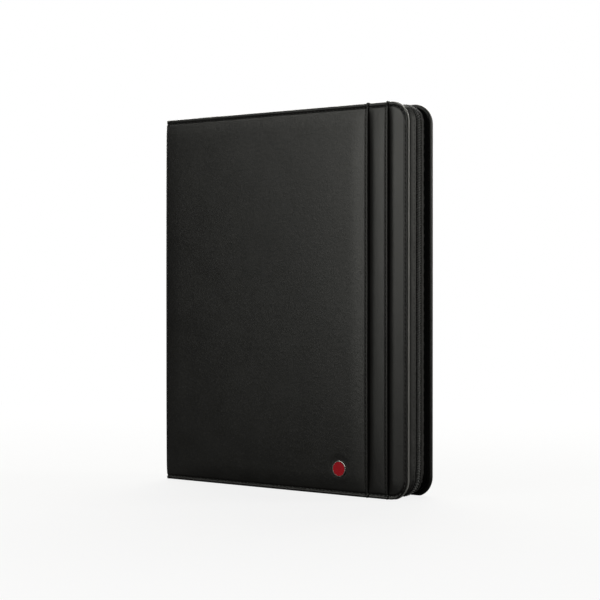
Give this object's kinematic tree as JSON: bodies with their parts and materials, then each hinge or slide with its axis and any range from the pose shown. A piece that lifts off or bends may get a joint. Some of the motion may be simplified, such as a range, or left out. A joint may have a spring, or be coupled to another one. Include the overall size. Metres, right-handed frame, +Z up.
{
  "type": "portfolio case",
  "caption": "Zip-around leatherette portfolio case with layered slip pockets, a folding spine, an inner organiser and a writing pad.",
  "frame": {"origin": "below the middle of the closed case, on the surface that it stands on", "axes": "+Z up the covers, +X from the spine to the free edge, -Y out of the front cover"},
  "size_m": [0.27, 0.046, 0.3429],
  "materials": {
    "cover_leather": "smooth black leatherette with a fine soft grain, semi-matte",
    "pocket_leather": "thin black leatherette, semi-matte, turned and stitched edges",
    "piping_leather": "tightly wrapped black leatherette bead, slightly glossy",
    "gusset_leather": "soft black leatherette band, fine grain",
    "pull_leather": "doubled black leatherette tab, stitched round",
    "foam": "open-cell padding foam",
    "greyboard": "grey bookbinder's board",
    "lining_cloth": "charcoal twill lining cloth",
    "zip_tape": "dark grey woven zip tape",
    "zip_coil": "black coiled monofilament, satin",
    "zip_metal": "gunmetal plated zinc, satin",
    "badge_metal": "bright plated rim",
    "badge_red": "glossy red enamel",
    "elastic": "black ribbed elastic webbing",
    "window_film": "clear flexible film",
    "paper": "uncoated writing paper with fine ruled lines",
    "backing_card": "grey-brown backing card",
    "binding_tape": "black cloth binding tape"
  },
  "bodies": {
    "back_cover": {"back_cover_skin": "cover_leather", "back_foam": "foam", "back_board": "greyboard", "back_lining": "lining_cloth", "back_piping": "piping_leather", "back_gusset": "gusset_leather", "back_zip_tape": "zip_tape", "back_zip_coil": "zip_coil", "back_zip_stops": "zip_metal", "pad_sleeve": "pocket_leather"},
    "spine": {"spine_skin": "cover_leather", "spine_board": "greyboard", "spine_lining": "lining_cloth", "front_crease": "cover_leather", "back_crease": "cover_leather"},
    "front_cover": {"main_pocket_panel": "cover_leather", "main_panel_foam": "foam", "middle_pocket_panel": "cover_leather", "front_cover_skin": "cover_leather", "front_board": "greyboard", "front_lining": "lining_cloth", "front_piping": "piping_leather", "front_gusset": "gusset_leather", "front_zip_tape": "zip_tape", "front_zip_coil": "zip_coil", "front_zip_stops": "zip_metal", "badge_bezel": "badge_metal", "badge_enamel": "badge_red", "badge_rivet": "badge_metal", "document_pocket": "pocket_leather", "phone_pocket": "pocket_leather", "gadget_pocket": "pocket_leather", "id_window_film": "window_film", "id_window_frame": "pocket_leather", "pen_loop_lower": "elastic", "pen_loop_upper": "elastic", "card_slot_1": "pocket_leather", "card_slot_2": "pocket_leather", "card_slot_3": "pocket_leather", "card_slot_4": "pocket_leather"},
    "zip_slider": {"slider_body": "zip_metal", "slider_bridge": "zip_metal"},
    "zip_pull": {"pull_link": "zip_metal", "pull_tab": "pull_leather"},
    "writing_pad": {"pad_sheets": "paper", "pad_backing_card": "backing_card", "pad_binding": "binding_tape"}
  },
  "joints": [
    {"name": "spine_fold", "type": "hinge", "parent": "back_cover", "child": "spine", "pos_m": [-0.134, 0.022, 0.17], "axis": [0, 0, -1], "range_deg": [0, 90], "deforming": ["back_crease"]},
    {"name": "front_fold", "type": "hinge", "parent": "spine", "child": "front_cover", "pos_m": [-0.134, -0.021, 0.17], "axis": [0, 0, -1], "range_deg": [0, 90], "deforming": ["front_crease"]},
    {"name": "zip_slide", "type": "slide", "parent": "back_cover", "child": "zip_slider", "axis": [1, 0, 0], "range_m": [0, 0.225], "deforming": ["front_zip_coil", "back_zip_coil"]},
    {"name": "pull_flip", "type": "hinge", "parent": "zip_slider", "child": "zip_pull", "pos_m": [-0.1165, 0.0018, 0.3416], "axis": [0, -1, 0], "range_deg": [0, 175]},
    {"name": "pad_lift", "type": "slide", "parent": "back_cover", "child": "writing_pad", "axis": [0, 0, 1], "range_m": [0, 0.018]}
  ],
  "couplings": [
    {"joint": "front_fold", "follows": "spine_fold", "ratio": 1}
  ]
}
